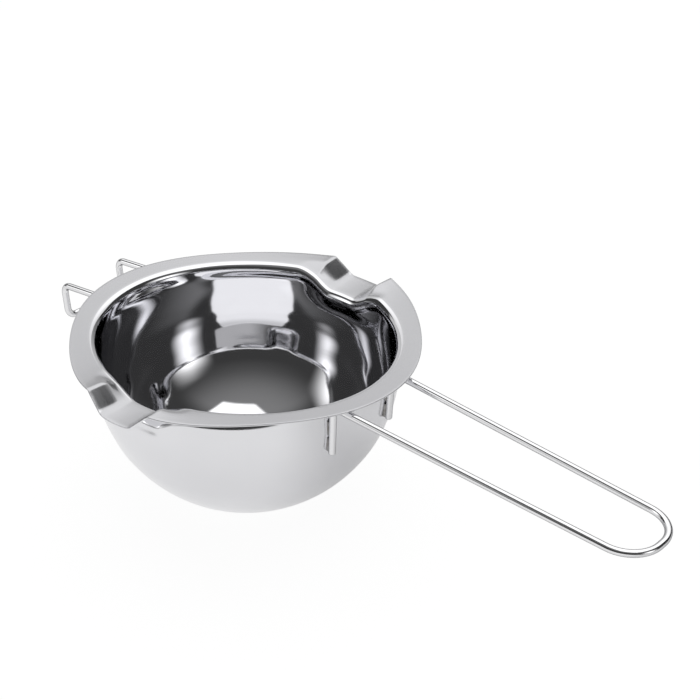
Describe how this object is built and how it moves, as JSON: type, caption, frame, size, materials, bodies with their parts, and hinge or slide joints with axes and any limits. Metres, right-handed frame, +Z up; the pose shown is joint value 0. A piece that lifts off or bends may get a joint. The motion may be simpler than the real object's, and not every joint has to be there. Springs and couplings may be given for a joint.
{
  "type": "melting pot",
  "caption": "Round-bottomed steel melting pot for a water bath, with pouring spouts pressed into its flat rim, a long wire loop handle and a wire rest that hooks over a saucepan's edge.",
  "frame": {"origin": "middle of the flat underside of the base", "axes": "+Z up, +X along the handle, the wire rest along -X, the two spouts along +Y and -Y"},
  "size_m": [0.2727, 0.1396, 0.0646],
  "materials": {
    "sheet_steel": "stainless sheet, mirror polished inside, fine satin on the rim and the outside",
    "wire_steel": "bright drawn stainless wire",
    "weld_steel": "spot weld, cleaned and slightly dull"
  },
  "bodies": {
    "root": {"bowl": "sheet_steel", "handle_wire": "wire_steel", "rest_wire": "wire_steel", "handle_weld_left_upper": "weld_steel", "handle_weld_left_lower": "weld_steel", "handle_weld_right_upper": "weld_steel", "handle_weld_right_lower": "weld_steel", "rest_weld_left_upper": "weld_steel", "rest_weld_left_lower": "weld_steel", "rest_weld_right_upper": "weld_steel", "rest_weld_right_lower": "weld_steel"}
  },
  "joints": []
}
